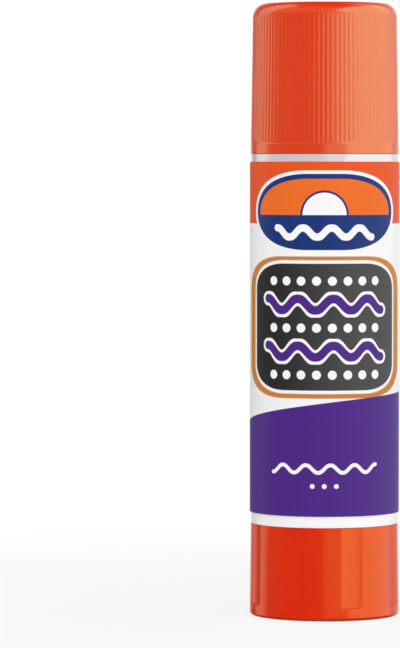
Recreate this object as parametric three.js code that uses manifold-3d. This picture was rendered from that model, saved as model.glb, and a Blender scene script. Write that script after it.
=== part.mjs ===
// A twist-up glue stick in millimetres. It stands on z = 0 around the Z axis, and its label faces -Y.
// The knob's screw lifts a carrier that holds the glue, and the ribbed cap pulls off upwards.
import * as THREE from "three";
import { mergeVertices } from "three/addons/utils/BufferGeometryUtils.js";
import Module from "manifold-3d";

const wasm = await Module();
wasm.setup();

// The barrel's outside, which the cap, the knob and the label follow
const BARREL_RADIUS = 9.85;

// Gaps between pieces
const CLEARANCE = 0.3; // between pieces that move, and at every end face
const LABEL_GAP = 0.05; // glue line under the label
const GLUE_GAP = 0.1; // between the glue and the cup that holds it

// Knob
const KNOB_HEIGHT = 12.35;
const KNOB_PROUD = 0.15; // how far its foot stands out past the barrel
const KNOB_TAPER = 0.14; // how much less the radius is at the top
const KNOB_EDGE = 0.45; // rounding of the foot's edge
const KNOB_WALL = 1.06;
const KNOB_FLOOR = 1.4;
const FOOT_RECESS = 0.5;
const FOOT_WIDTH = 2;
const SCALLOPS = 8;
const SCALLOP_ANGLE = 18; // degrees of the wall that each one takes
const SCALLOP_DEPTH = 0.22;
const SCALLOP_LEDGE = 1.7; // height where the scallops end
const BOSS_WALL = 2.1;
const BOSS_CORE = 2.3; // radius of the hollow under the boss
const BOSS_ROOF = 1.5;
const WEBS = 8;
const WEB_THICKNESS = 0.9;

// Snap fit that holds the knob in the barrel's floor
const SHAFT_RADIUS = 3.3;
const BARB = 0.35; // how far the barb reaches past the floor's hole
const BARB_BAND = 0.6;
const BARB_TAPER = 1.3;

// Screw, with a left-hand thread, so that a clockwise turn seen from below lifts the glue
const LEAD = 4.8;
const SCREW_ROOT = 1.8;
const SCREW_CREST = 2.6;
const CREST_WIDTH = 1;
const FLANK_WIDTH = 0.5;
const SCREW_TIP = 0.8; // chamfer at the top
const STEPS_PER_TURN = 10;

// Barrel
const BARREL_WALL = 1.35;
const BODY_LENGTH = 48.8; // from the knob's seam to the shoulder
const SPIGOT_LENGTH = 3.85;
const FLOOR_LIFT = 0.25; // the floor's underside above the body's lower end
const BARREL_FLOOR = 1.2;
const SHOULDER = 1.85; // thickness of the step under the neck
const NECK_LENGTH = 9.35;
const NECK_WALL = 0.95;
const NECK_BEAD = 0.15;
const BEAD_HEIGHT = 3.4; // above the shoulder
const BEAD_LENGTH = 0.9;
const EDGE = 0.2; // small edge breaks

// Four keyways for the carrier's wings, each between two ribs
const KEYWAYS = 4;
const KEYWAY_WIDTH = 2.4;
const RIB_THICKNESS = 0.9;

// Carrier
const WING_HEIGHT = 4;
const CUP_DEPTH = 8;
const CUP_FLOOR = 1.2;
const CUP_WALL = 0.75;
const HUB_WALL = 1;
const FINS = 4; // in the cup, so that the glue can't turn or fall out
const FIN_THICKNESS = 0.6;
const FIN_DEPTH = 2.2;
const FIN_BELOW_RIM = 1.5;
const RIM_BELOW_MOUTH = 0.4; // at full lift
const THREAD_HOLD = 4; // length of screw still in the hub at full lift

// Glue
const GLUE_ABOVE_CARRIER = 0.05; // how much slimmer than the carrier it is
const GLUE_BELOW_MOUTH = 2.3;
const GLUE_DOME = 0.4;
const GLUE_EDGE = 0.8;

// Label
const LABEL_THICKNESS = 0.1;
const LABEL_LENGTH = 46.7;
const LABEL_BELOW_SHOULDER = 0.85;
const LABEL_SEAM = 0.4; // gap where the ends meet at the back

// Cap
const CAP_LENGTH = 20.1;
const CAP_PROUD = 0.07; // how far its ribs stand out past the barrel at the lower end
const CAP_TAPER = 0.24; // how much less that radius is at the crown
const CAP_WALL = 1.12;
const CAP_ROOF = 1.35;
const CROWN_EDGE = 1.8;
const BAND_HEIGHT = 1.4;
const BAND_STEP = 0.03; // how far the band stands out past the ribs
const GROOVES = 98;
const GROOVE_WIDTH = 0.3;
const GROOVE_DEPTH = 0.22;
const GROOVE_BELOW_TOP = 1.65;
const CAP_BEAD = 0.1;
const SEAL_WALL = 0.85;
const SEAL_REACH = 1.2; // of the sealing tube into the mouth

// Facets around the axis
const FACETS = 48;
const INNER_FACETS = 40;
const CORNER_FACETS = 4;

// Heights and radii that follow from the sizes above
const KNOB_RADIUS = BARREL_RADIUS + KNOB_PROUD;
const CAP_RADIUS = BARREL_RADIUS + CAP_PROUD;
const BARREL_BOTTOM = KNOB_HEIGHT + CLEARANCE;
const SHOULDER_Z = BARREL_BOTTOM + BODY_LENGTH;
const MOUTH_Z = SHOULDER_Z + NECK_LENGTH;
const STEP_Z = SHOULDER_Z - SHOULDER;
const FLOOR_BOTTOM = BARREL_BOTTOM + FLOOR_LIFT;
const FLOOR_TOP = FLOOR_BOTTOM + BARREL_FLOOR;
const SPIGOT_BOTTOM = BARREL_BOTTOM - SPIGOT_LENGTH;
const KNOB_BORE = KNOB_RADIUS - KNOB_TAPER - KNOB_WALL;
const SPIGOT_RADIUS = KNOB_BORE - CLEARANCE;
const BARREL_BORE = BARREL_RADIUS - BARREL_WALL;
const CAP_BORE = CAP_RADIUS - CAP_WALL;
const NECK_RADIUS = CAP_BORE - CLEARANCE;
const NECK_BORE = NECK_RADIUS - NECK_WALL;
const FLOOR_HOLE = SHAFT_RADIUS + CLEARANCE;
const KNOB_FLOOR_TOP = FOOT_RECESS + KNOB_FLOOR;
const BOSS_RADIUS = BOSS_CORE + BOSS_WALL;
const BOSS_TOP = FLOOR_BOTTOM - CLEARANCE;
const BARB_BOTTOM = FLOOR_TOP + CLEARANCE;
const BARB_TOP = BARB_BOTTOM + BARB_BAND + BARB_TAPER;
const CARRIER_RADIUS = NECK_BORE - CLEARANCE;
const CARRIER_BOTTOM = FLOOR_TOP + CLEARANCE;
const WING_TOP = CARRIER_BOTTOM + WING_HEIGHT;
const TRAVEL = STEP_Z - CLEARANCE - WING_TOP;
const CUP_RIM = MOUTH_Z - RIM_BELOW_MOUTH - TRAVEL;
const CUP_BOTTOM = CUP_RIM - CUP_DEPTH;
const HUB_BOTTOM = BARB_TOP + CLEARANCE;
const HUB_RADIUS = SCREW_CREST + CLEARANCE + HUB_WALL;
const SCREW_TOP = HUB_BOTTOM + TRAVEL + THREAD_HOLD;
const GLUE_RADIUS = CARRIER_RADIUS - GLUE_ABOVE_CARRIER;
const GLUE_TOP = MOUTH_Z - GLUE_BELOW_MOUTH;
const GLUE_BORE = SCREW_CREST + CLEARANCE;
const CAP_BOTTOM = SHOULDER_Z + CLEARANCE;
const CAP_TOP = CAP_BOTTOM + CAP_LENGTH;
const SEAL_RADIUS = NECK_BORE - CLEARANCE;

// Turns a three.js geometry into a solid that faces out.
function solid(geometry) {
  const bare = geometry.clone();
  bare.deleteAttribute("normal");
  bare.deleteAttribute("uv");
  const welded = mergeVertices(bare, 1e-4);
  const corners = welded.index.array;
  const kept = [];
  for (let i = 0; i < corners.length; i += 3) {
    const [a, b, c] = corners.subarray(i, i + 3);
    if (a !== b && b !== c && c !== a) kept.push(a, b, c);
  }
  const vertProperties = new Float32Array(welded.attributes.position.array);
  const made = (triVerts) => new wasm.Manifold(new wasm.Mesh({ numProp: 3, vertProperties, triVerts }));
  const first = made(new Uint32Array(kept));
  return first.volume() > 0 ? first : made(new Uint32Array(kept).reverse());
}

// Gives a solid back as a named three.js mesh.
function mesh(name, body, material) {
  const { numProp, vertProperties, triVerts } = body.getMesh();
  const interleaved = new THREE.InterleavedBuffer(vertProperties, numProp);
  const geometry = new THREE.BufferGeometry();
  geometry.setAttribute("position", new THREE.InterleavedBufferAttribute(interleaved, 3, 0));
  geometry.setIndex(new THREE.BufferAttribute(triVerts, 1));
  const flat = geometry.toNonIndexed();
  flat.computeVertexNormals();
  const made = new THREE.Mesh(flat, material);
  made.name = name;
  return made;
}

// Turns a closed outline of [radius, height] points around the Z axis.
function turned(outline, facets) {
  const points = outline.map(([radius, height]) => new THREE.Vector2(radius, height));
  const onAxis = points[0].x === 0 && points[points.length - 1].x === 0;
  if (!onAxis) points.push(points[0].clone());
  return solid(new THREE.LatheGeometry(points, facets).rotateX(Math.PI / 2));
}

// Points of a round corner, from one angle to another in degrees.
function corner(radius, height, size, from, to) {
  return Array.from({ length: CORNER_FACETS + 1 }, (_, i) => {
    const angle = THREE.MathUtils.degToRad(from + ((to - from) * i) / CORNER_FACETS);
    return [radius + size * Math.cos(angle), height + size * Math.sin(angle)];
  });
}

// Copies of a geometry around the Z axis, joined into one solid.
function around(geometry, count, firstAngle = 0) {
  const copies = Array.from({ length: count }, (_, i) =>
    solid(geometry.clone().rotateZ(THREE.MathUtils.degToRad(firstAngle) + (2 * Math.PI * i) / count)),
  );
  return wasm.Manifold.union(copies);
}

// A box from one radius out to another along +X, moved sideways in Y.
function radialBox(inner, outer, width, bottom, top, sideways = 0) {
  const box = new THREE.BoxGeometry(outer - inner, width, top - bottom);
  return box.translate((inner + outer) / 2, sideways, (bottom + top) / 2);
}

// Cross-section of the screw, grown all round by a clearance.
function screwShape(grow) {
  const perMm = (2 * Math.PI) / LEAD;
  const crest = (CREST_WIDTH / 2 + grow) * perMm;
  const root = crest + FLANK_WIDTH * perMm;
  const arc = (radius, from, to) => {
    const pieces = Math.ceil(((to - from) * STEPS_PER_TURN) / (2 * Math.PI));
    return Array.from({ length: pieces + 1 }, (_, i) => {
      const angle = from + ((to - from) * i) / pieces;
      return new THREE.Vector2(radius * Math.cos(angle), radius * Math.sin(angle));
    });
  };
  return new THREE.Shape([
    ...arc(SCREW_CREST + grow, -crest, crest),
    ...arc(SCREW_ROOT + grow, root, 2 * Math.PI - root),
  ]);
}

// The screw's body: its section, turned a little more at each step up. It is twisted right-handed,
// along the diagonals of the extrusion's faces, and then mirrored into a left-hand thread.
function screw(grow) {
  const bottom = BARB_BOTTOM + BARB_BAND / 2;
  const length = SCREW_TOP - bottom;
  const steps = Math.ceil((length / LEAD) * STEPS_PER_TURN);
  const thread = new THREE.ExtrudeGeometry(screwShape(grow), { depth: length, steps, bevelEnabled: false });
  const place = thread.attributes.position;
  const point = new THREE.Vector3();
  const up = new THREE.Vector3(0, 0, 1);
  for (let i = 0; i < place.count; i += 1) {
    point.fromBufferAttribute(place, i);
    point.applyAxisAngle(up, (2 * Math.PI * point.z) / LEAD);
    place.setXYZ(i, point.x, point.y, point.z);
  }
  return solid(thread.scale(-1, 1, 1).translate(0, 0, bottom));
}

// The knob's cup, boss, shaft and barb, open underneath as it is moulded.
function knobBody() {
  const top = KNOB_RADIUS - KNOB_TAPER;
  const barb = FLOOR_HOLE + BARB;
  return turned(
    [
      [KNOB_RADIUS - KNOB_EDGE - FOOT_WIDTH, 0],
      ...corner(KNOB_RADIUS - KNOB_EDGE, KNOB_EDGE, KNOB_EDGE, -90, 0),
      [top, KNOB_HEIGHT - EDGE],
      [top - EDGE, KNOB_HEIGHT],
      [KNOB_BORE + EDGE, KNOB_HEIGHT],
      [KNOB_BORE, KNOB_HEIGHT - EDGE],
      [KNOB_BORE, KNOB_FLOOR_TOP],
      [BOSS_RADIUS, KNOB_FLOOR_TOP],
      [BOSS_RADIUS, BOSS_TOP],
      [SHAFT_RADIUS, BOSS_TOP],
      [SHAFT_RADIUS, BARB_BOTTOM],
      [barb, BARB_BOTTOM],
      [barb, BARB_BOTTOM + BARB_BAND],
      [SCREW_CREST, BARB_TOP],
      [0, BARB_TOP],
      [0, BOSS_TOP - BOSS_ROOF],
      [BOSS_CORE, BOSS_TOP - BOSS_ROOF],
      [BOSS_CORE, FOOT_RECESS],
      [KNOB_RADIUS - KNOB_EDGE - FOOT_WIDTH, FOOT_RECESS],
    ],
    FACETS,
  );
}

// Shallow finger scallops that follow the wall's taper and stop at a ledge.
function scallopCutters() {
  const half = THREE.MathUtils.degToRad(SCALLOP_ANGLE / 2);
  const chord = KNOB_RADIUS * Math.sin(half);
  const rise = SCALLOP_DEPTH - KNOB_RADIUS * (1 - Math.cos(half));
  const hollow = (chord * chord + rise * rise) / (2 * rise);
  const length = KNOB_HEIGHT + 1 - SCALLOP_LEDGE;
  const lean = Math.atan2(KNOB_TAPER, KNOB_HEIGHT - KNOB_EDGE);
  const cutter = new THREE.CylinderGeometry(hollow, hollow, length, FACETS)
    .rotateX(Math.PI / 2)
    .translate(hollow - SCALLOP_DEPTH, 0, length / 2)
    .rotateY(-lean)
    .translate(KNOB_RADIUS - Math.tan(lean) * (SCALLOP_LEDGE - KNOB_EDGE), 0, SCALLOP_LEDGE);
  return around(cutter, SCALLOPS, 180 / SCALLOPS);
}

function twistKnob() {
  const webs = radialBox(
    BOSS_RADIUS - 0.5,
    KNOB_BORE + 0.3,
    WEB_THICKNESS,
    KNOB_FLOOR_TOP - 0.3,
    SPIGOT_BOTTOM - CLEARANCE,
  );
  const tip = turned(
    [
      [0, BARB_BOTTOM],
      [SCREW_CREST + 1, BARB_BOTTOM],
      [SCREW_CREST + 1, SCREW_TOP - SCREW_TIP - 1],
      [SCREW_ROOT - SCREW_TIP / 2, SCREW_TOP],
      [0, SCREW_TOP],
    ],
    INNER_FACETS,
  );
  return knobBody().subtract(scallopCutters()).add(around(webs, WEBS)).add(screw(0).intersect(tip));
}

// The barrel's body, neck, floor and the spigot that stands in the knob.
function barrelBody() {
  const beadZ = SHOULDER_Z + BEAD_HEIGHT;
  const spigotBore = SPIGOT_RADIUS - BARREL_WALL;
  return turned(
    [
      [SPIGOT_RADIUS - EDGE, SPIGOT_BOTTOM],
      [SPIGOT_RADIUS, SPIGOT_BOTTOM + EDGE],
      [SPIGOT_RADIUS, BARREL_BOTTOM],
      [BARREL_RADIUS - EDGE, BARREL_BOTTOM],
      [BARREL_RADIUS, BARREL_BOTTOM + EDGE],
      [BARREL_RADIUS, SHOULDER_Z - EDGE],
      [BARREL_RADIUS - EDGE, SHOULDER_Z],
      [NECK_RADIUS, SHOULDER_Z],
      [NECK_RADIUS, beadZ - BEAD_LENGTH / 2],
      [NECK_RADIUS + NECK_BEAD, beadZ],
      [NECK_RADIUS, beadZ + BEAD_LENGTH / 2],
      [NECK_RADIUS, MOUTH_Z - EDGE],
      [NECK_RADIUS - EDGE, MOUTH_Z],
      [NECK_BORE + EDGE, MOUTH_Z],
      [NECK_BORE, MOUTH_Z - EDGE],
      [NECK_BORE, STEP_Z],
      [BARREL_BORE, STEP_Z],
      [BARREL_BORE, FLOOR_TOP],
      [FLOOR_HOLE, FLOOR_TOP],
      [FLOOR_HOLE, FLOOR_BOTTOM],
      [spigotBore, FLOOR_BOTTOM],
      [spigotBore, SPIGOT_BOTTOM],
    ],
    FACETS,
  );
}

// Pairs of ribs in the barrel, one pair on each side of a keyway, as deep as the neck's wall.
function guideRibs() {
  const sideways = (KEYWAY_WIDTH + RIB_THICKNESS) / 2;
  const rib = (side) =>
    radialBox(
      NECK_BORE,
      BARREL_BORE + BARREL_WALL / 2,
      RIB_THICKNESS,
      FLOOR_TOP - BARREL_FLOOR / 2,
      STEP_Z + SHOULDER / 2,
      side * sideways,
    );
  return around(rib(1), KEYWAYS).add(around(rib(-1), KEYWAYS));
}

// Fins that stand in from the cup's wall, or the slots for them when they are grown by a gap.
function cupFins(grow) {
  const wall = CARRIER_RADIUS - CUP_WALL;
  const fin = radialBox(
    wall - FIN_DEPTH - grow,
    CARRIER_RADIUS - CUP_WALL / 2,
    FIN_THICKNESS + 2 * grow,
    CUP_BOTTOM - CUP_FLOOR / 2,
    CUP_RIM - FIN_BELOW_RIM + grow,
  );
  return around(fin, FINS, 180 / FINS);
}

// The carrier: a cup for the glue, a skirt, a threaded hub and the wings that run in the keyways.
function carrier() {
  const skirtBore = CARRIER_RADIUS - CUP_WALL;
  const floorBottom = CUP_BOTTOM - CUP_FLOOR;
  const body = turned(
    [
      [skirtBore, CARRIER_BOTTOM],
      [CARRIER_RADIUS, CARRIER_BOTTOM],
      [CARRIER_RADIUS, CUP_RIM],
      [skirtBore, CUP_RIM],
      [skirtBore, CUP_BOTTOM],
      [0, CUP_BOTTOM],
      [0, HUB_BOTTOM],
      [HUB_RADIUS, HUB_BOTTOM],
      [HUB_RADIUS, floorBottom],
      [skirtBore, floorBottom],
    ],
    INNER_FACETS,
  );
  const wing = radialBox(
    CARRIER_RADIUS - CUP_WALL / 2,
    BARREL_BORE - CLEARANCE,
    KEYWAY_WIDTH - 2 * CLEARANCE,
    CARRIER_BOTTOM,
    WING_TOP,
  );
  return body.add(around(wing, KEYWAYS)).add(cupFins(0)).subtract(screw(CLEARANCE));
}

// The glue: cast in the cup and above it, with a blind bore round the screw.
function glue() {
  const inCup = CARRIER_RADIUS - CUP_WALL - GLUE_GAP;
  const dome = GLUE_TOP - GLUE_DOME;
  const cast = turned(
    [
      [GLUE_BORE, CUP_BOTTOM + GLUE_GAP],
      [inCup, CUP_BOTTOM + GLUE_GAP],
      [inCup, CUP_RIM + GLUE_GAP],
      [GLUE_RADIUS, CUP_RIM + GLUE_GAP],
      ...corner(GLUE_RADIUS - GLUE_EDGE, dome - GLUE_EDGE, GLUE_EDGE, 0, 75),
      [GLUE_RADIUS / 2, GLUE_TOP - GLUE_DOME / 4],
      [0, GLUE_TOP],
      [0, SCREW_TOP + CLEARANCE],
      [GLUE_BORE, SCREW_TOP + CLEARANCE],
    ],
    INNER_FACETS,
  );
  return cast.subtract(cupFins(GLUE_GAP));
}

// The wrapped label, whose ends meet at the back.
function label() {
  const inner = BARREL_RADIUS + LABEL_GAP;
  const outer = inner + LABEL_THICKNESS;
  const top = SHOULDER_Z - LABEL_BELOW_SHOULDER;
  const bottom = top - LABEL_LENGTH;
  const sleeve = turned(
    [
      [inner, bottom],
      [outer, bottom],
      [outer, top],
      [inner, top],
    ],
    FACETS,
  );
  const seam = radialBox(inner - 1, outer + 1, LABEL_SEAM, bottom - 1, top + 1).rotateZ(Math.PI / 2);
  return sleeve.subtract(solid(seam));
}

// The cap's outside: a smooth band, the tapered wall that the ribs are cut in, and the round crown.
function capOutside() {
  const crown = CAP_RADIUS - CAP_TAPER;
  const bandTop = CAP_BOTTOM + BAND_HEIGHT;
  return turned(
    [
      [0, CAP_BOTTOM],
      [CAP_RADIUS + BAND_STEP - EDGE, CAP_BOTTOM],
      [CAP_RADIUS + BAND_STEP, CAP_BOTTOM + EDGE],
      [CAP_RADIUS + BAND_STEP, bandTop],
      [CAP_RADIUS, bandTop],
      ...corner(crown - CROWN_EDGE, CAP_TOP - CROWN_EDGE, CROWN_EDGE, 0, 90),
      [0, CAP_TOP],
    ],
    GROOVES,
  );
}

// The cap's hollow, around the tube that seals the mouth.
function capHollow() {
  const roof = CAP_TOP - CAP_ROOF;
  const beadZ = SHOULDER_Z + BEAD_HEIGHT - BEAD_LENGTH;
  const sealEnd = MOUTH_Z - SEAL_REACH;
  return turned(
    [
      [0, CAP_BOTTOM - 1],
      [CAP_BORE + EDGE, CAP_BOTTOM - 1],
      [CAP_BORE + EDGE, CAP_BOTTOM],
      [CAP_BORE, CAP_BOTTOM + EDGE],
      [CAP_BORE, beadZ - BEAD_LENGTH / 2],
      [CAP_BORE - CAP_BEAD, beadZ],
      [CAP_BORE, beadZ + BEAD_LENGTH / 2],
      [CAP_BORE, roof],
      [SEAL_RADIUS, roof],
      [SEAL_RADIUS, sealEnd + EDGE],
      [SEAL_RADIUS - EDGE, sealEnd],
      [SEAL_RADIUS - SEAL_WALL, sealEnd],
      [SEAL_RADIUS - SEAL_WALL, roof],
      [0, roof],
    ],
    INNER_FACETS,
  );
}

// One groove for each gap between ribs, leaning with the wall so that its depth stays the same.
function grooveCutters() {
  const past = 0.2;
  const half = (GROOVE_WIDTH / 2) * (1 + past / GROOVE_DEPTH);
  const shape = new THREE.Shape([
    new THREE.Vector2(-GROOVE_DEPTH, 0),
    new THREE.Vector2(past, -half),
    new THREE.Vector2(past, half),
  ]);
  const bottom = CAP_BOTTOM + BAND_HEIGHT;
  const length = CAP_TOP - GROOVE_BELOW_TOP - bottom;
  const lean = Math.atan2(CAP_TAPER, CAP_LENGTH - BAND_HEIGHT - CROWN_EDGE);
  const cutter = new THREE.ExtrudeGeometry(shape, { depth: length, bevelEnabled: false })
    .rotateY(-lean)
    .translate(CAP_RADIUS, 0, bottom);
  return around(cutter, GROOVES, 90);
}

function cap() {
  return capOutside().subtract(grooveCutters()).subtract(capHollow());
}

const plastic = (color) => new THREE.MeshStandardMaterial({ color, roughness: 0.4, metalness: 0 });
const orange = plastic("#e6552a");
const knobOrange = plastic("#dd3a18");
const white = plastic("#eae4e8");
const carrierWhite = plastic("#f2f0ec");
const film = new THREE.MeshStandardMaterial({ color: "#523089", roughness: 0.45, metalness: 0 });
const glueViolet = new THREE.MeshStandardMaterial({ color: "#6a3f9e", roughness: 0.6, metalness: 0 });

const stick = new THREE.Group();
stick.name = "glue_stick";
stick.add(mesh("twist_knob", twistKnob(), knobOrange));
stick.add(mesh("barrel", barrelBody().add(guideRibs()), white));
stick.add(mesh("carrier", carrier(), carrierWhite));
stick.add(mesh("glue", glue(), glueViolet));
stick.add(mesh("label", label(), film));
stick.add(mesh("cap", cap(), orange));

export default stick;
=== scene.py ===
"""A twist-up glue stick on a white sweep: ribbed cap, barrel, printed label, scalloped knob, violet glue."""
import math

import bmesh
import bpy
from mathutils import Matrix, Vector


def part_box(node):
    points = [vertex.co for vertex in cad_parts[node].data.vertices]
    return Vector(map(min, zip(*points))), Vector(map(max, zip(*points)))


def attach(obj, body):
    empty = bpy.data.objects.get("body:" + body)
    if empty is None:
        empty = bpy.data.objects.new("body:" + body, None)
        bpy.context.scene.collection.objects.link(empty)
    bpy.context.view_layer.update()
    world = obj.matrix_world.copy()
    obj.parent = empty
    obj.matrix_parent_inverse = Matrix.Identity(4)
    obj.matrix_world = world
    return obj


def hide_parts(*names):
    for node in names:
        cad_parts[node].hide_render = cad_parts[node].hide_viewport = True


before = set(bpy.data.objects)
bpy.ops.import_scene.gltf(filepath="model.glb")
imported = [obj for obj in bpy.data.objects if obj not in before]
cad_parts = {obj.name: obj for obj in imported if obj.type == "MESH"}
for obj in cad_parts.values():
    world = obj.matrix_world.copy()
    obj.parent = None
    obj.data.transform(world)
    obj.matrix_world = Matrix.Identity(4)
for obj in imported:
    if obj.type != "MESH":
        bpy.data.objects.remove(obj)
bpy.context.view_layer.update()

MM = 0.001
WELD = 0.001

# Sizes of the turned pieces in millimetres; their ends and outer radii come from the frame
EDGE = 0.2
SEAM_EDGE = 0.06
SEAM_GAP = 0.02
CROWN_EDGE = 1.8
CROWN_EDGE_END = 6
CAP_SLIMMER = 0.06
CAP_TAPER = 0.25
CAP_ROOF = 1.35
CAP_BORE = 8.8
CAP_BAND = 1.4
CAP_BAND_STEP = 0.03
CAP_BEAD = 0.1
HALF_CAP_WALL = 0.5
CAP_SECTORS = 14
SEAL_OUTSIDE = 7.25
SEAL_WALL = 0.85
SEAL_REACH = 1.2
RIBS = 98
RIB_COLUMNS = 10
RIB_DEPTH = 0.042
RIBS_BELOW_CROWN = 1.5
RIB_RUN_OUT = 0.5
RUN_OUT_ROWS = 4
NECK_RADIUS = 8.5
NECK_BORE = 7.55
NECK_LENGTH = 9.35
NECK_BEAD = 0.15
BEAD_HEIGHT = 3.4
BEAD_LENGTH = 0.9
SHOULDER_HEIGHT = 61.45
SHOULDER = 1.85
BARREL_BORE = 8.5
BARREL_STEPS = 192
FLOOR_HEIGHT = 12.9
BARREL_FLOOR = 1.2
FLOOR_HOLE = 3.6
SPIGOT_WALL = 1.35
SPIGOT_GAP = 0.3
KEYWAYS = 4
KEYWAY_WIDTH = 2.4
GUIDE_THICKNESS = 0.9
KNOB_TOP = 12.35
KNOB_TAPER = 0.14
KNOB_EDGE = 0.45
KNOB_WALL = 1.0
KNOB_BORE = 8.8
KNOB_FLOOR = 1.9
FOOT_WIDTH = 2.0
FOOT_RECESS = 0.5
FOOT_CHAMFER = 0.1
BOSS_RADIUS = 4.4
BOSS_TOP = 12.6
BOSS_CORE = 2.3
BOSS_CORE_TOP = 11.1
SHAFT_RADIUS = 3.3
BARB_RADIUS = 3.95
BARB_BOTTOM = 14.4
BARB_LAND = 0.6
BARB_TOP = 16.3
WEBS = 8
WEB_THICKNESS = 0.9
WEB_TOP = 8.5
WEB_SUNK = 0.3
SCALLOPS = 8
SCALLOP_ANGLE = 18
SCALLOP_COLUMNS = 40
SCALLOP_DEPTH = 0.22
SCALLOP_LEDGE = 1.7
LEDGE_ROWS = (-0.3, -0.04, 0.04, 0.12, 0.3)
SCREW_LEAD = 4.8
SCREW_ROOT = 1.8
SCREW_CREST = 2.6
SCREW_SUNK = 0.5
SPARE_TURNS = 2
CREST_WIDTH = 1.0
FLANK_WIDTH = 0.5
SCREW_STEPS = 48
GLUE_IN_CUP = 6.4
GLUE_STEP = 29.6
GLUE_BORE = 2.9
GLUE_BORE_TOP = 61.8
GLUE_DOME = 0.4
DOME_ROWS = (0.15, 0.4, 0.7)
GLUE_EDGE = 0.8
GLUE_EDGE_END = 80
GLUE_STEPS = 128
LABEL_THICKNESS = 0.1
LABEL_SEAM = 0.4
LABEL_RISE = 0.12
LABEL_STEPS = 240


def span(node):
    """Lowest height, highest height and outer radius of a CAD node, in millimetres."""
    low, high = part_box(node)
    return low.z / MM, high.z / MM, high.x / MM


def arc(radius, height, size, start, end, pieces=8):
    """Points of a round corner about (radius, height), from one angle to another in degrees."""
    angles = [math.radians(start + (end - start) * i / pieces) for i in range(pieces + 1)]
    return [(radius + size * math.cos(a), height + size * math.sin(a)) for a in angles]


def side(radius, low, high):
    """Points up a straight side, with one near each end, so that smooth shading keeps it straight."""
    near = SEAM_EDGE / 2
    return [(radius, low), (radius, low + near), (radius, high - near), (radius, high)]


def leaning(radius, taper, low, high, height):
    """A point at some height on a side that draws in by its taper between two heights."""
    return radius - taper * (height - low) / (high - low), height


def spin(bm, steps, angle, **options):
    """Spins all of a bmesh about the Z axis."""
    geometry = bm.verts[:] + bm.edges[:] + bm.faces[:]
    axis = (0, 0, 1)
    bmesh.ops.spin(bm, geom=geometry, cent=(0, 0, 0), axis=axis, angle=angle, steps=steps, **options)


def turned(outline, steps, angle=math.tau, sectors=1):
    """Spins an outline of (radius, height) points in millimetres about the Z axis, in equal sectors."""
    bm = bmesh.new()
    points = [bm.verts.new((radius * MM, 0, height * MM)) for radius, height in outline]
    for a, b in zip(points, points[1:]):
        bm.edges.new((a, b))
    on_axis = outline[0][0] == 0 and outline[-1][0] == 0
    if not on_axis:
        bm.edges.new((points[-1], points[0]))
    full = sectors == 1 and angle == math.tau
    spin(bm, steps // sectors, angle / sectors, use_merge=full)
    if sectors > 1:
        spin(bm, sectors - 1, angle * (sectors - 1) / sectors, use_duplicate=True)
    bmesh.ops.remove_doubles(bm, verts=bm.verts[:], dist=WELD * MM)
    bmesh.ops.dissolve_degenerate(bm, edges=bm.edges[:], dist=WELD * MM)
    return bm


def add_box(bm, inner, outer, width, bottom, top, sideways, turn):
    """Adds a box from one radius out to another, moved sideways and turned about the Z axis."""
    size = Matrix.Diagonal(((outer - inner) * MM, width * MM, (top - bottom) * MM, 1))
    middle = Vector(((inner + outer) / 2, sideways, (bottom + top) / 2)) * MM
    place = Matrix.Rotation(turn, 4, "Z") @ Matrix.Translation(middle) @ size
    bmesh.ops.create_cube(bm, size=1, matrix=place)


def draw_in(vert, depth):
    """Moves a vertex towards the Z axis by a depth in millimetres."""
    shrink = 1 - depth * MM / math.hypot(vert.co.x, vert.co.y)
    vert.co.x *= shrink
    vert.co.y *= shrink


def add_object(name, bm):
    """Makes an object of a bmesh, at the origin."""
    mesh = bpy.data.meshes.new(name)
    bm.to_mesh(mesh)
    bm.free()
    made = bpy.data.objects.new(name, mesh)
    bpy.context.scene.collection.objects.link(made)
    return made


def piece(bm, name, node, body, material, sharp=35):
    """Makes a smooth piece of a bmesh, in place of a CAD node and riding on its body."""
    bmesh.ops.recalc_face_normals(bm, faces=bm.faces[:])
    for face in bm.faces:
        face.smooth = True
    for edge in bm.edges:
        edge.smooth = edge.calc_face_angle(0) < math.radians(sharp)
    made = add_object(name, bm)
    made.data.materials.append(material)
    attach(made, body)
    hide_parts(node)


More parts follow.
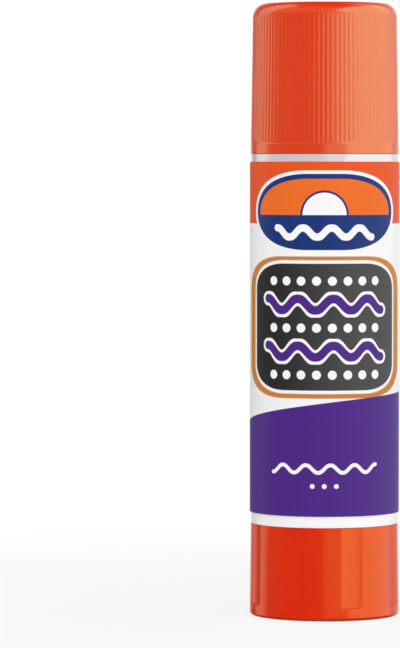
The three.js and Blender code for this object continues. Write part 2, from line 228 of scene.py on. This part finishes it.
class Nodes:
    """Short calls for the shader nodes of one material or of the world."""

    def __init__(self, tree):
        self.tree = tree

    def feed(self, socket, value):
        """Links a socket to another one, or gives it a plain value."""
        if isinstance(value, bpy.types.NodeSocket):
            self.tree.links.new(value, socket)
        else:
            socket.default_value = value

    def node(self, kind, inputs, **settings):
        made = self.tree.nodes.new(kind)
        for name, value in settings.items():
            setattr(made, name, value)
        for name, value in inputs.items():
            self.feed(made.inputs[name], value)
        return made

    def math(self, operation, *values, clamp=False):
        inputs = dict(enumerate(values))
        return self.node("ShaderNodeMath", inputs, operation=operation, use_clamp=clamp).outputs[0]

    def mix(self, share, first, second):
        """Goes from one colour to another as the share goes from 0 to 1."""
        made = self.tree.nodes.new("ShaderNodeMix")
        made.data_type = "RGBA"
        self.feed(made.inputs["Factor"], share)
        self.feed(made.inputs[6], first)
        self.feed(made.inputs[7], second)
        return made.outputs[2]

    def ramp(self, value, start, end, low=0.0, high=1.0, kind="SMOOTHSTEP"):
        """Goes from low to high as a value goes from start to end."""
        inputs = {"Value": value, "From Min": start, "From Max": end, "To Min": low, "To Max": high}
        return self.node("ShaderNodeMapRange", inputs, interpolation_type=kind).outputs[0]

    def range(self, value, low, high):
        """Spreads a value from 0 to 1 between two others."""
        return self.math("MULTIPLY_ADD", value, high - low, low)

    def away(self, x, y):
        """Distance of a point from the origin."""
        return self.math("SQRT", self.math("MULTIPLY_ADD", x, x, self.math("MULTIPLY", y, y)))

    def place(self):
        """The surface point in millimetres, in the frame's own axes."""
        point = self.node("ShaderNodeTexCoord", {}).outputs["Object"]
        scaled = self.node("ShaderNodeVectorMath", {0: point, "Scale": 1 / MM}, operation="SCALE")
        return scaled.outputs[0]

    def noise(self, point, scale, detail=3.0, stretch=(1, 1, 1)):
        where = self.node("ShaderNodeMapping", {"Vector": point, "Scale": stretch}).outputs[0]
        inputs = {"Vector": where, "Scale": scale, "Detail": detail}
        return self.node("ShaderNodeTexNoise", inputs).outputs["Fac"]

    def bump(self, height, distance, strength=1.0, normal=None):
        inputs = {"Height": height, "Distance": distance * MM, "Strength": strength}
        if normal is not None:
            inputs["Normal"] = normal
        return self.node("ShaderNodeBump", inputs).outputs[0]


class Finish(Nodes):
    """A material with a Principled shader."""

    def __init__(self, name):
        self.material = bpy.data.materials.new(name)
        self.material.use_nodes = True
        super().__init__(self.material.node_tree)
        self.shader = self.tree.nodes["Principled BSDF"]

    def set(self, socket, value):
        self.feed(self.shader.inputs[socket], value)


def srgb(red, green, blue):
    """A colour written as 0 to 255, as the linear values that a shader takes."""
    parts = [c / 255 for c in (red, green, blue)]
    linear = [c / 12.92 if c <= 0.04045 else ((c + 0.055) / 1.055) ** 2.4 for c in parts]
    return (*linear, 1.0)


# Cap
def cap_outline(low, high, band):
    """The cap from the middle of its crown, over its side and back up inside to the roof's middle."""
    foot = band - CAP_BAND_STEP
    crown = foot - CAP_TAPER
    roof = high - CAP_ROOF
    ribs_low = low + CAP_BAND
    ribs_high = high - RIBS_BELOW_CROWN
    seal_end = SHOULDER_HEIGHT + NECK_LENGTH - SEAL_REACH
    bead = SHOULDER_HEIGHT + BEAD_HEIGHT - BEAD_LENGTH
    run_out = [RIB_RUN_OUT * i / RUN_OUT_ROWS for i in range(RUN_OUT_ROWS + 1)]
    rows = [ribs_high - d for d in run_out] + [ribs_low + d for d in reversed(run_out)]
    step = SEAM_EDGE / 3
    return [
        (0, high),
        *arc(crown - CROWN_EDGE, high - CROWN_EDGE, CROWN_EDGE, 90, CROWN_EDGE_END, pieces=14),
        *[leaning(foot, CAP_TAPER, ribs_low, high - CROWN_EDGE, z) for z in rows],
        (band - step, ribs_low - step / 2),
        *side(band, low + SEAM_EDGE, ribs_low - SEAM_EDGE)[::-1],
        *arc(band - SEAM_EDGE, low + SEAM_EDGE, SEAM_EDGE, 0, -90, pieces=4)[1:],
        (CAP_BORE + EDGE, low),
        (CAP_BORE, low + EDGE),
        (CAP_BORE, bead - BEAD_LENGTH / 2),
        (CAP_BORE - CAP_BEAD, bead),
        (CAP_BORE, bead + BEAD_LENGTH / 2),
        (CAP_BORE, roof),
        (SEAL_OUTSIDE, roof),
        (SEAL_OUTSIDE, seal_end + EDGE),
        (SEAL_OUTSIDE - EDGE, seal_end),
        (SEAL_OUTSIDE - SEAL_WALL, seal_end),
        (SEAL_OUTSIDE - SEAL_WALL, roof),
        (0, roof),
    ]


def press_ribs(bm, low, high):
    """Presses the grooves between the ribs into the cap's side, with round ends."""
    for vert in bm.verts:
        inside = math.hypot(vert.co.x, vert.co.y) < (CAP_BORE + HALF_CAP_WALL) * MM
        from_end = min(vert.co.z - low * MM, high * MM - vert.co.z) / MM
        if inside or from_end <= 0:
            continue
        phase = math.atan2(vert.co.y, vert.co.x) / math.tau * RIBS
        from_crest = abs(phase - round(phase)) * 2
        end = min(1, from_end / RIB_RUN_OUT)
        draw_in(vert, RIB_DEPTH * from_crest**2 * end * (2 - end))


def make_cap(material):
    """The cap, ribbed from its plain band up to just below its crown."""
    low, high, outer = span("cap")
    outline = cap_outline(low, high, outer - CAP_SLIMMER)
    bm = turned(outline, RIBS * RIB_COLUMNS, sectors=CAP_SECTORS)
    press_ribs(bm, low + CAP_BAND, high - RIBS_BELOW_CROWN)
    piece(bm, "ribbed_cap", "cap", "cap", material, sharp=50)


# Barrel
def barrel_outline(low, high, radius):
    """The barrel from the spigot up its outside, over the neck and down inside to the floor."""
    spigot = KNOB_BORE - SPIGOT_GAP
    bottom = KNOB_TOP + SEAM_GAP
    shoulder = span("cap")[0] - SEAM_GAP
    bead = SHOULDER_HEIGHT + BEAD_HEIGHT
    brow = NECK_RADIUS + NECK_BEAD * 0.8
    return [
        (spigot - EDGE, low),
        (spigot, low + EDGE),
        (spigot, bottom),
        *arc(radius - SEAM_EDGE, bottom + SEAM_EDGE, SEAM_EDGE, -90, 0, pieces=4)[:-1],
        *side(radius, bottom + SEAM_EDGE, shoulder - SEAM_EDGE),
        *arc(radius - SEAM_EDGE, shoulder - SEAM_EDGE, SEAM_EDGE, 0, 90, pieces=4)[1:],
        (NECK_RADIUS, shoulder),
        (NECK_RADIUS, bead - BEAD_LENGTH / 2),
        (brow, bead - BEAD_LENGTH / 5),
        (NECK_RADIUS + NECK_BEAD, bead),
        (brow, bead + BEAD_LENGTH / 5),
        (NECK_RADIUS, bead + BEAD_LENGTH / 2),
        *arc(NECK_RADIUS - EDGE, high - EDGE, EDGE, 0, 90, pieces=4),
        *arc(NECK_BORE + EDGE, high - EDGE, EDGE, 90, 180, pieces=4),
        (NECK_BORE, SHOULDER_HEIGHT - SHOULDER),
        (BARREL_BORE, SHOULDER_HEIGHT - SHOULDER),
        (BARREL_BORE, FLOOR_HEIGHT + BARREL_FLOOR),
        (FLOOR_HOLE, FLOOR_HEIGHT + BARREL_FLOOR),
        (FLOOR_HOLE, FLOOR_HEIGHT),
        (spigot - SPIGOT_WALL, FLOOR_HEIGHT),
        (spigot - SPIGOT_WALL, low),
    ]


def make_barrel(material):
    """The barrel, with a pair of guides inside it for each of the carrier's wings."""
    low, high, radius = span("barrel")
    bm = turned(barrel_outline(low, high, radius), BARREL_STEPS)
    bottom = FLOOR_HEIGHT + BARREL_FLOOR / 2
    top = SHOULDER_HEIGHT - SHOULDER / 2
    offset = (KEYWAY_WIDTH + GUIDE_THICKNESS) / 2
    for i in range(KEYWAYS):
        turn = math.tau * i / KEYWAYS
        for sideways in (-offset, offset):
            add_box(bm, NECK_BORE, BARREL_BORE + EDGE, GUIDE_THICKNESS, bottom, top, sideways, turn)
    piece(bm, "white_barrel", "barrel", "barrel", material)


# Label
def make_label(material):
    """The film, wrapped round from one end to the other with its seam at the back."""
    low, high, outer = span("label")
    high += LABEL_RISE
    inner = outer - LABEL_THICKNESS
    edge = LABEL_THICKNESS / 4
    outline = [
        (inner, low),
        (outer - edge, low),
        (outer, low + edge),
        (outer, high - edge),
        (outer - edge, high),
        (inner, high),
    ]
    seam = LABEL_SEAM / outer
    bm = turned(outline, LABEL_STEPS, math.tau - seam)
    bmesh.ops.holes_fill(bm, edges=bm.edges[:], sides=0)
    bmesh.ops.rotate(bm, verts=bm.verts[:], matrix=Matrix.Rotation(math.pi / 2 + seam / 2, 3, "Z"))
    piece(bm, "wrapped_label", "label", "barrel", material)


# Knob
def knob_outline(radius):
    """The knob from its core's roof out over the foot, up its side and down inside to the shaft."""
    top = radius - KNOB_TAPER
    foot = radius - KNOB_EDGE
    rows = [SCALLOP_LEDGE + d for d in LEDGE_ROWS]
    rows += [KNOB_TOP / 2, KNOB_TOP - SEAM_EDGE * 1.5]
    return [
        (0, BOSS_CORE_TOP),
        (BOSS_CORE, BOSS_CORE_TOP),
        (BOSS_CORE, FOOT_RECESS),
        (foot - FOOT_WIDTH, FOOT_RECESS),
        (foot - FOOT_WIDTH, FOOT_CHAMFER),
        (foot - FOOT_WIDTH + FOOT_CHAMFER, 0),
        *arc(foot, KNOB_EDGE, KNOB_EDGE, -90, 0, pieces=6),
        *[leaning(radius, KNOB_TAPER, KNOB_EDGE, KNOB_TOP, z) for z in rows],
        *arc(top - SEAM_EDGE, KNOB_TOP - SEAM_EDGE, SEAM_EDGE, 0, 90, pieces=4),
        (KNOB_BORE + EDGE, KNOB_TOP),
        (KNOB_BORE, KNOB_TOP - EDGE),
        (KNOB_BORE, KNOB_FLOOR),
        (BOSS_RADIUS, KNOB_FLOOR),
        (BOSS_RADIUS, BOSS_TOP),
        (SHAFT_RADIUS, BOSS_TOP),
        (SHAFT_RADIUS, BARB_BOTTOM),
        (BARB_RADIUS, BARB_BOTTOM),
        (BARB_RADIUS, BARB_BOTTOM + BARB_LAND),
        (SCREW_CREST, BARB_TOP),
        (0, BARB_TOP),
    ]


def press_scallops(bm, radius):
    """Presses the finger scallops into the knob's side, down to their ledge."""
    half = math.radians(SCALLOP_ANGLE / 2)
    chord = radius * math.sin(half)
    rise = SCALLOP_DEPTH - radius * (1 - math.cos(half))
    hollow = (chord**2 + rise**2) / (2 * rise)
    centre = radius - SCALLOP_DEPTH + hollow
    for vert in bm.verts:
        inside = math.hypot(vert.co.x, vert.co.y) < (radius - KNOB_WALL) * MM
        if inside or vert.co.z < SCALLOP_LEDGE * MM:
            continue
        turn = math.atan2(vert.co.y, vert.co.x) / math.tau * SCALLOPS - 0.5
        angle = (turn - round(turn)) * math.tau / SCALLOPS
        if abs(angle) < half:
            floor = centre * math.cos(angle) - math.sqrt(hollow**2 - (centre * math.sin(angle)) ** 2)
            draw_in(vert, radius - floor)


def add_screw(bm, top):
    """Adds the left-hand screw: one lead's outline, spun downwards and cut flat at both ends."""
    root_width = SCREW_LEAD - CREST_WIDTH - 2 * FLANK_WIDTH
    outline = [
        (SCREW_ROOT, 0),
        (SCREW_ROOT, root_width),
        (SCREW_CREST, root_width + FLANK_WIDTH),
        (SCREW_CREST, root_width + FLANK_WIDTH + CREST_WIDTH),
        (SCREW_ROOT, SCREW_LEAD),
    ]
    screw = bmesh.new()
    points = [screw.verts.new((r * MM, 0, (top + z) * MM)) for r, z in outline]
    for a, b in zip(points, points[1:]):
        screw.edges.new((a, b))
    turns = math.ceil((top - BARB_TOP) / SCREW_LEAD) + SPARE_TURNS
    drop = (0, 0, -SCREW_LEAD * MM / SCREW_STEPS)
    spin(screw, SCREW_STEPS * turns, math.tau * turns, dvec=drop)
    bmesh.ops.remove_doubles(screw, verts=screw.verts[:], dist=2 * WELD * MM)
    for height, up in ((top, 1), (BARB_TOP - SCREW_SUNK, -1)):
        bmesh.ops.bisect_plane(
            screw,
            geom=screw.verts[:] + screw.edges[:] + screw.faces[:],
            plane_co=(0, 0, height * MM),
            plane_no=(0, 0, up),
            clear_outer=True,
        )
    bmesh.ops.holes_fill(screw, edges=screw.edges[:], sides=0)
    bmesh.ops.recalc_face_normals(screw, faces=screw.faces[:])
    mesh = bpy.data.meshes.new("screw")
    screw.to_mesh(mesh)
    screw.free()
    bm.from_mesh(mesh)
    bpy.data.meshes.remove(mesh)


def make_knob(material):
    """The knob, with webs from its boss to its wall and the screw that lifts the carrier."""
    _, screw_top, radius = span("twist_knob")
    bm = turned(knob_outline(radius), SCALLOP_COLUMNS * SCALLOPS, sectors=SCALLOPS)
    press_scallops(bm, radius)
    inner = BOSS_RADIUS - WEB_SUNK
    outer = KNOB_BORE + WEB_SUNK
    for i in range(WEBS):
        turn = math.tau * i / WEBS
        add_box(bm, inner, outer, WEB_THICKNESS, KNOB_FLOOR - WEB_SUNK, WEB_TOP, 0, turn)
    add_screw(bm, screw_top)
    piece(bm, "scalloped_knob", "twist_knob", "knob", material, sharp=28)


# Glue
def make_glue(material):
    """The glue, with a bore for the screw, a foot in the cup and a slightly domed tip."""
    low, high, radius = span("glue")
    edge_height = high - GLUE_DOME - GLUE_EDGE
    outline = [
        (0, high),
        *[(radius * share, high - GLUE_DOME * share**2) for share in DOME_ROWS],
        *arc(radius - GLUE_EDGE, edge_height, GLUE_EDGE, GLUE_EDGE_END, 0),
        (radius, GLUE_STEP),
        (GLUE_IN_CUP, GLUE_STEP),
        (GLUE_IN_CUP, low),
        (GLUE_BORE, low),
        (GLUE_BORE, GLUE_BORE_TOP),
        (0, GLUE_BORE_TOP),
    ]
    piece(turned(outline, GLUE_STEPS), "violet_glue", "glue", "carrier", material)


# Label print, in millimetres across the label from its front and up from the table
PRINT_EDGE = 0.05
FRAME_EDGE = 0.15
LABEL_WHITE = srgb(243, 242, 243)
LABEL_ORANGE = srgb(230, 81, 22)
BADGE_BLUE = srgb(17, 50, 118)
BADGE_ORANGE = srgb(235, 107, 28)
FRAME_AMBER = srgb(203, 125, 46)
# The panel's two greys are painted light: near black for painted shade on the left, paler for a painted
# sheen on the right.
PANEL_PAINTED_SHADE = srgb(26, 26, 27)
PANEL_PAINTED_SHEEN = srgb(71, 71, 72)
FIELD_VIOLET = srgb(76, 34, 133)
BAND_BOTTOM = 52.53

# Panels: half width, half height, and how far a corner reaches across and up
KEYLINE = (11.5, 5.5, 9.0, 5.5)
BADGE = (10.95, 5.05, 8.6, 5.05)
BADGE_INSIDE = (10.2, 4.4, 8.0, 4.4)
FRAME = (13.55, 9.45, 7.6, 4.6)
MARGIN = (11.7, 8.89, 6.0, 3.8)
PANEL = (11.2, 8.4, 5.5, 3.4)
BADGE_MIDDLE = 54.1
BADGE_SPLIT = 53.7
FRAME_MIDDLE = 38.87
PANEL_MIDDLE = 38.92
# Distances across the label over which the panel's painted shade gives way to its painted sheen.
PAINTED_SHADE_START = -12
PAINTED_SHADE_END = 6

# Wavy lines: half length, height of a crest and distance between two crests
BADGE_WAVE = (6.72, 0.6, 3.84)
PANEL_WAVE = (8.4, 0.75, 4.8)
FIELD_WAVE = (7.425, 0.5, 3.3)
BADGE_WAVE_HEIGHT = 51.4
FIELD_WAVE_HEIGHT = 20.2
FIELD_DOTS_HEIGHT = 17.9
ROWS_MIDDLE = 38.8
ROW_PITCH = 3.1

# The violet field's upper edge: its peak's height and angle, how it falls, and its height at the back
FIELD_PEAK = 30.06
FIELD_PEAK_ANGLE = 105
FIELD_FALL = 0.000106
FIELD_BACK = 27.65
BACK_START = 100


class Label(Finish):
    """The printed film, with the place on it of the surface point and the inks laid down so far."""

    def __init__(self, name, radius):
        super().__init__(name)
        self.point = self.place()
        x, y, self.height = self.node("ShaderNodeSeparateXYZ", {"Vector": self.point}).outputs
        self.angle = self.math("ARCTAN2", x, self.math("MULTIPLY", y, -1.0))
        self.across = self.math("MULTIPLY", self.angle, radius)
        self.colour = LABEL_WHITE

    def ink(self, share, ink):
        """Lays an ink over the ones so far, where its share is 1."""
        self.colour = self.mix(share, self.colour, ink)

    def above(self, edge):
        """1 above a height and 0 below it, with a soft printed edge."""
        lift = self.math("SUBTRACT", self.height, edge)
        return self.math("MULTIPLY_ADD", lift, 1 / PRINT_EDGE, 0.5, clamp=True)

    def panel(self, middle, shape, edge=PRINT_EDGE):
        """1 inside a panel with round corners."""
        half_width, half_height, corner_across, corner_up = shape
        beside = self.math("ABSOLUTE", self.across)
        rise = self.math("ABSOLUTE", self.math("SUBTRACT", self.height, middle))
        x = self.math("MULTIPLY_ADD", beside, 1 / corner_across, 1 - half_width / corner_across, clamp=True)
        y = self.math("MULTIPLY_ADD", rise, 1 / corner_up, 1 - half_height / corner_up, clamp=True)
        soft = edge / corner_up
        return self.math("MULTIPLY_ADD", self.away(x, y), -1 / soft, 1 / soft, clamp=True)

    def wave(self, middle, shape, thickness):
        """1 on a wavy line with round ends."""
        half_length, crest, length = shape
        turn = math.tau / length
        near = self.math("MINIMUM", self.math("MAXIMUM", self.across, -half_length), half_length)
        phase = self.math("MULTIPLY", near, turn)
        line = self.math("MULTIPLY_ADD", self.math("SINE", phase), crest, middle)
        slope = self.math("MULTIPLY", self.math("COSINE", phase), crest * turn)
        steep = self.math("SQRT", self.math("MULTIPLY_ADD", slope, slope, 1.0))
        up = self.math("DIVIDE", self.math("SUBTRACT", self.height, line), steep)
        past = self.math("SUBTRACT", self.across, near)
        edge = thickness / 2 / PRINT_EDGE + 0.5
        return self.math("MULTIPLY_ADD", self.away(up, past), -1 / PRINT_EDGE, edge, clamp=True)

    def dots(self, middle, count, pitch, radius):
        """1 on each dot of a level row that is centred on the front."""
        shift = pitch / 2 if count % 2 == 0 else 0
        beside = self.math("WRAP", self.math("ADD", self.across, shift), pitch / 2, -pitch / 2)
        up = self.math("SUBTRACT", self.height, middle)
        edge = radius / PRINT_EDGE + 0.5
        dot = self.math("MULTIPLY_ADD", self.away(up, beside), -1 / PRINT_EDGE, edge, clamp=True)
        within = self.math("LESS_THAN", self.math("ABSOLUTE", self.across), count * pitch / 2)
        return self.math("MULTIPLY", dot, within)


def print_badge(label):
    """A rounded blue badge with a white keyline: a half disc on orange above, a wavy line on blue below."""
    label.ink(label.panel(BADGE_MIDDLE, KEYLINE), LABEL_WHITE)
    label.ink(label.panel(BADGE_MIDDLE, BADGE), BADGE_BLUE)
    upper = label.above(BADGE_SPLIT)
    inside = label.panel(BADGE_MIDDLE, BADGE_INSIDE)
    label.ink(label.math("MULTIPLY", inside, upper), BADGE_ORANGE)
    for radius, ink in ((3.25, BADGE_BLUE), (2.95, LABEL_WHITE)):
        disc = label.dots(BADGE_SPLIT, count=1, pitch=8.0, radius=radius)
        label.ink(label.math("MULTIPLY", disc, upper), ink)
    label.ink(label.wave(BADGE_WAVE_HEIGHT, BADGE_WAVE, thickness=0.95), LABEL_WHITE)


def print_framed_panel(label):
    """A near-black panel with painted shade on the left and a painted sheen on the right, in an amber frame,
    with white dots and violet wavy lines.
    """
    label.ink(label.panel(FRAME_MIDDLE, FRAME, FRAME_EDGE), FRAME_AMBER)
    label.ink(label.panel(PANEL_MIDDLE, MARGIN, FRAME_EDGE), LABEL_WHITE)
    # Painted shade and sheen: the panel runs from near black on the left to paler on the right.
    shade_to_sheen = label.mix(label.ramp(label.across, PAINTED_SHADE_START, PAINTED_SHADE_END), PANEL_PAINTED_SHADE, PANEL_PAINTED_SHEEN)
    label.ink(label.panel(PANEL_MIDDLE, PANEL), shade_to_sheen)
    for row in (-2, 0, 2):
        height = ROWS_MIDDLE + row * ROW_PITCH
        label.ink(label.dots(height, count=8, pitch=2.1, radius=0.6), LABEL_WHITE)
    for row in (-1, 1):
        height = ROWS_MIDDLE + row * ROW_PITCH
        label.ink(label.wave(height, PANEL_WAVE, thickness=1.9), LABEL_WHITE)
        label.ink(label.wave(height, PANEL_WAVE, thickness=1.15), FIELD_VIOLET)


def field_edge(label):
    """Height of the violet field's sweeping upper edge, which closes on itself round the back."""
    degrees = label.math("MULTIPLY", label.angle, 180 / math.pi)
    from_peak = label.math("SUBTRACT", degrees, FIELD_PEAK_ANGLE)
    fall = label.math("MULTIPLY", from_peak, from_peak)
    sweep = label.math("MULTIPLY_ADD", fall, -FIELD_FALL, FIELD_PEAK)
    back = label.ramp(label.math("ABSOLUTE", degrees), BACK_START, 180)
    to_back = label.math("SUBTRACT", FIELD_BACK, sweep)
    return label.math("MULTIPLY_ADD", to_back, back, sweep)


def print_field(label):
    """The violet field at the foot of the label, with one narrow wavy line and three dots."""
    label.ink(label.math("SUBTRACT", 1.0, label.above(field_edge(label))), FIELD_VIOLET)
    label.ink(label.wave(FIELD_WAVE_HEIGHT, FIELD_WAVE, thickness=0.5), LABEL_WHITE)
    label.ink(label.dots(FIELD_DOTS_HEIGHT, count=3, pitch=1.6, radius=0.32), LABEL_WHITE)


def printed_film(radius):
    """The label: inks on a white film with a satin skin and slight handling marks."""
    label = Label("printed film", radius)
    label.ink(label.above(BAND_BOTTOM), LABEL_ORANGE)
    print_badge(label)
    print_framed_panel(label)
    print_field(label)
    drift = label.range(label.noise(label.point, scale=0.25), low=0.96, high=1.03)
    shade = label.node("ShaderNodeHueSaturation", {"Color": label.colour, "Value": drift})
    label.set("Base Color", shade.outputs[0])
    rub = label.noise(label.point, scale=0.8, detail=5.0, stretch=(1, 1, 0.4))
    label.set("Roughness", label.range(rub, low=0.42, high=0.52))
    label.set("IOR", 1.45)
    label.set("Specular IOR Level", 0.3)
    wrinkle = label.noise(label.point, scale=0.35, detail=2.0, stretch=(1, 1, 0.5))
    skin = label.noise(label.point, scale=14.0, detail=2.0)
    wrinkled = label.bump(wrinkle, distance=0.03, strength=0.5)
    label.set("Normal", label.bump(skin, distance=0.003, strength=0.4, normal=wrinkled))
    return label.material


# Plastics
def moulded_plastic(name, colour, shade, roughness, texture):
    """Moulded plastic: slow colour drift, faint flow lines, uneven gloss and a fine skin."""
    finish = Finish(name)
    point = finish.place()
    drift = finish.noise(point, scale=0.12, detail=2.0)
    finish.set("Base Color", finish.mix(drift, colour, shade))
    gloss = finish.noise(point, scale=0.9, detail=4.0, stretch=(1, 1, 0.25))
    finish.set("Roughness", finish.range(gloss, low=roughness, high=roughness + 0.07))
    flow = finish.noise(point, scale=0.5, detail=2.0, stretch=(1, 1, 0.3))
    skin = finish.noise(point, scale=9.0, detail=2.0)
    flowing = finish.bump(flow, distance=0.01, strength=0.5)
    finish.set("Normal", finish.bump(skin, distance=texture, strength=0.5, normal=flowing))
    finish.set("IOR", 1.49)
    return finish


def cap_plastic():
    orange, shade = srgb(237, 50, 4), srgb(230, 45, 3)
    finish = moulded_plastic("ribbed orange", orange, shade, roughness=0.2, texture=0.002)
    finish.set("IOR", 1.9)
    finish.set("Specular IOR Level", 1.0)
    finish.set("Specular Tint", (0.6, 1.0, 0.5, 1))
    return finish.material


def knob_plastic():
    red_orange, shade = srgb(228, 32, 8), srgb(222, 28, 7)
    finish = moulded_plastic("glossy red orange", red_orange, shade, roughness=0.2, texture=0.0015)
    finish.set("IOR", 1.6)
    finish.set("Specular IOR Level", 1.0)
    finish.set("Specular Tint", (1.0, 0.9, 0.22, 1))
    return finish.material


def barrel_plastic():
    """Milky plastic, polished by the cap near the top, where painted shade and pink reflection tint it."""
    milk, shade = srgb(248, 247, 248), srgb(245, 244, 245)
    finish = moulded_plastic("milk white", milk, shade, roughness=0.2, texture=0.001)
    white = finish.shader.inputs["Base Color"].links[0].from_socket
    height = finish.node("ShaderNodeSeparateXYZ", {"Vector": finish.place()}).outputs["Z"]
    # Share near the cap of a painted shade and a painted pink reflection of the cap, which also weights the
    # polished coat.
    cap_shade_and_polish = finish.ramp(height, start=45, end=60, kind="LINEAR")
    # The pinkish grey is painted light: shade under the cap and the cap's orange reflection.
    finish.set("Base Color", finish.mix(cap_shade_and_polish, white, srgb(225, 215, 222)))
    finish.set("Coat Weight", cap_shade_and_polish)
    finish.set("Coat IOR", 2.8)
    finish.set("Coat Roughness", 0.22)
    return finish.material


def carrier_plastic():
    natural, shade = srgb(240, 238, 232), srgb(233, 231, 224)
    return moulded_plastic("natural white", natural, shade, roughness=0.42, texture=0.01).material


def waxy_glue():
    """Solid glue: waxy violet with pinholes, a drag-marked skin and a slightly paler bloom."""
    finish = Finish("waxy violet")
    point = finish.place()
    bloom = finish.noise(point, scale=0.5, detail=5.0)
    finish.set("Base Color", finish.mix(bloom, srgb(104, 62, 158), srgb(128, 90, 178)))
    finish.set("Roughness", finish.range(bloom, low=0.38, high=0.6))
    from_hole = finish.node("ShaderNodeTexVoronoi", {"Vector": point, "Scale": 1.6}).outputs["Distance"]
    pinhole = finish.math("LESS_THAN", from_hole, 0.09)
    pits = finish.math("MULTIPLY", pinhole, -1.0)
    drag = finish.noise(point, scale=1.2, stretch=(1, 1, 0.15))
    dragged = finish.bump(drag, distance=0.08, strength=0.5)
    finish.set("Normal", finish.bump(pits, distance=0.06, strength=0.7, normal=dragged))
    finish.set("Subsurface Weight", 0.25)
    finish.set("Subsurface Scale", 0.003)
    return finish.material


# Stage, in metres
FLOOR_HALF_WIDTH = 3
FLOOR_DROP = 0.00002
ROOM_LEVEL = 0.04
LAMP_TARGET = Vector((0, 0, 0.045))
CAMERA_PLACE = (0, -0.567, 0.06)
CAMERA_TARGET = (-0.01669, 0, 0.03897)


def make_floor():
    """A white sweep that the camera sees as bright as the backdrop, less the stick's own shadow."""
    bm = bmesh.new()
    just_below = Matrix.Translation((0, 0, -FLOOR_DROP))
    bmesh.ops.create_grid(bm, x_segments=1, y_segments=1, size=FLOOR_HALF_WIDTH, matrix=just_below)
    floor = add_object("floor", bm)
    finish = Finish("white floor")
    finish.set("Base Color", (0.8, 0.8, 0.8, 1))
    finish.set("Roughness", 0.9)
    seen = finish.node("ShaderNodeLightPath", {}).outputs["Is Camera Ray"]
    distance = finish.node("ShaderNodeVectorMath", {0: finish.place()}, operation="LENGTH").outputs["Value"]
    share = finish.math("MULTIPLY", seen, finish.ramp(distance, start=30, end=160, low=0.8))
    glow = finish.node("ShaderNodeEmission", {"Color": (1, 1, 1, 1), "Strength": 1.0}).outputs[0]
    mixed = finish.node("ShaderNodeMixShader", {0: share, 1: finish.shader.outputs[0], 2: glow})
    finish.feed(finish.tree.nodes["Material Output"].inputs["Surface"], mixed.outputs[0])
    floor.data.materials.append(finish.material)
    floor.visible_glossy = False


def make_backdrop():
    """A dim room with a white backdrop, which the camera, glass and gloss see and which lights nothing."""
    world = bpy.data.worlds.new("backdrop")
    bpy.context.scene.world = world
    world.use_nodes = True
    nodes = Nodes(world.node_tree)
    path = nodes.node("ShaderNodeLightPath", {}).outputs
    direction = nodes.node("ShaderNodeTexCoord", {}).outputs["Generated"]
    backwards = nodes.node("ShaderNodeSeparateXYZ", {"Vector": direction}).outputs["Y"]
    seen = nodes.math("MULTIPLY", path["Is Glossy Ray"], nodes.ramp(backwards, start=0.8, end=1.0))
    for ray in ("Is Camera Ray", "Is Transmission Ray"):
        seen = nodes.math("MAXIMUM", path[ray], seen)
    room = world.node_tree.nodes["Background"]
    white = world.node_tree.nodes.new("ShaderNodeBackground")
    for light, level in ((room, ROOM_LEVEL), (white, 1.0)):
        nodes.feed(light.inputs["Color"], (1, 1, 1, 1))
        nodes.feed(light.inputs["Strength"], level)
    mixed = nodes.node("ShaderNodeMixShader", {0: seen, 1: room.outputs[0], 2: white.outputs[0]})
    nodes.feed(world.node_tree.nodes["World Output"].inputs["Surface"], mixed.outputs[0])


def aim(thing, place, target):
    thing.location = place
    thing.rotation_euler = (Vector(target) - Vector(place)).to_track_quat("-Z", "Y").to_euler()


def soft_box(name, turn, lift, width, height, glow, distance=0.6, reflected=True, lit=True):
    """A lamp at a turn to the right of the camera and a lift above the table; a glow of 1 is white."""
    light = bpy.data.lights.new(name, "AREA")
    light.shape = "RECTANGLE"
    light.size = width
    light.size_y = height
    light.energy = glow * math.pi * width * height
    lamp = bpy.data.objects.new(name, light)
    bpy.context.scene.collection.objects.link(lamp)
    lamp.visible_glossy = reflected
    lamp.visible_diffuse = lit
    turn, lift = math.radians(turn), math.radians(lift)
    out = Vector((math.sin(turn) * math.cos(lift), -math.cos(turn) * math.cos(lift), math.sin(lift)))
    aim(lamp, LAMP_TARGET + out * distance, LAMP_TARGET)


def make_lamps():
    soft_box("broad box on the right", 80.5, 20, width=1.4, height=1.1, glow=1.2)
    soft_box("low card beside the box", 15, 3, width=0.33, height=0.45, glow=0.45)
    soft_box("strip behind on the right", 141, 20, width=0.3, height=1.1, glow=0.55)
    soft_box("strip on the left", -117, 22, width=0.34, height=1.1, glow=0.78, distance=0.55)
    soft_box("faint card beside the strip", -83, 20, width=0.45, height=1.0, glow=0.12, lit=False)
    soft_box("fill from the front", -27, 42, width=1.8, height=1.0, glow=1.87, distance=0.9, reflected=False)


def make_camera():
    data = bpy.data.cameras.new("camera")
    data.sensor_width = 36
    data.lens = 235
    camera = bpy.data.objects.new("camera", data)
    bpy.context.scene.collection.objects.link(camera)
    aim(camera, CAMERA_PLACE, CAMERA_TARGET)
    bpy.context.scene.camera = camera


make_camera()
make_backdrop()
make_floor()
make_lamps()
bpy.context.scene.view_settings.view_transform = "Standard"

make_cap(cap_plastic())
make_barrel(barrel_plastic())
make_label(printed_film(span("label")[2]))
make_knob(knob_plastic())
make_glue(waxy_glue())
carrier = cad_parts["carrier"]
carrier.data.materials.clear()
carrier.data.materials.append(carrier_plastic())
